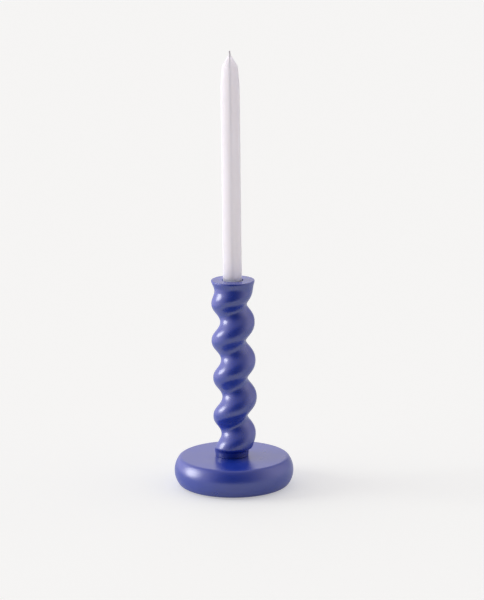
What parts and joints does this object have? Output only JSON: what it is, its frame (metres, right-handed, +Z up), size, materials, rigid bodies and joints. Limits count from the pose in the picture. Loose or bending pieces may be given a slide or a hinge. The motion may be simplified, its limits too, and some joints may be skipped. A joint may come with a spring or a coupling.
{
  "type": "spiral candle holder",
  "caption": "Lacquered candle holder with a right-handed twisted stem on a round pebble-shaped base, holding one straight dinner candle.",
  "frame": {"origin": "middle of the face that stands on the table, under the felt", "axes": "+Z up along the stem and the candle; the picture looks along +Y with +X to the right"},
  "size_m": [0.1394, 0.1394, 0.5121],
  "materials": {
    "base_lacquer": "deep blue satin lacquer",
    "felt": "matt wool felt",
    "stem_lacquer": "deep blue satin lacquer",
    "cup_metal": "drawn tinplate",
    "insert_brass": "turned",
    "screw_steel": "zinc plated",
    "washer_steel": "zinc plated",
    "wax": "smooth white candle wax",
    "wick_cotton": "braided cotton"
  },
  "bodies": {
    "holder": {"base": "base_lacquer", "base_felt": "felt", "stem": "stem_lacquer", "candle_cup": "cup_metal", "stem_insert": "insert_brass", "stem_screw": "screw_steel", "screw_washer": "washer_steel"},
    "candle": {"candle_wax": "wax", "candle_wick": "wick_cotton"}
  },
  "joints": [
    {"name": "candle_lift", "type": "slide", "parent": "holder", "child": "candle", "axis": [0, 0, 1], "range_m": [0, 0.03]}
  ]
}
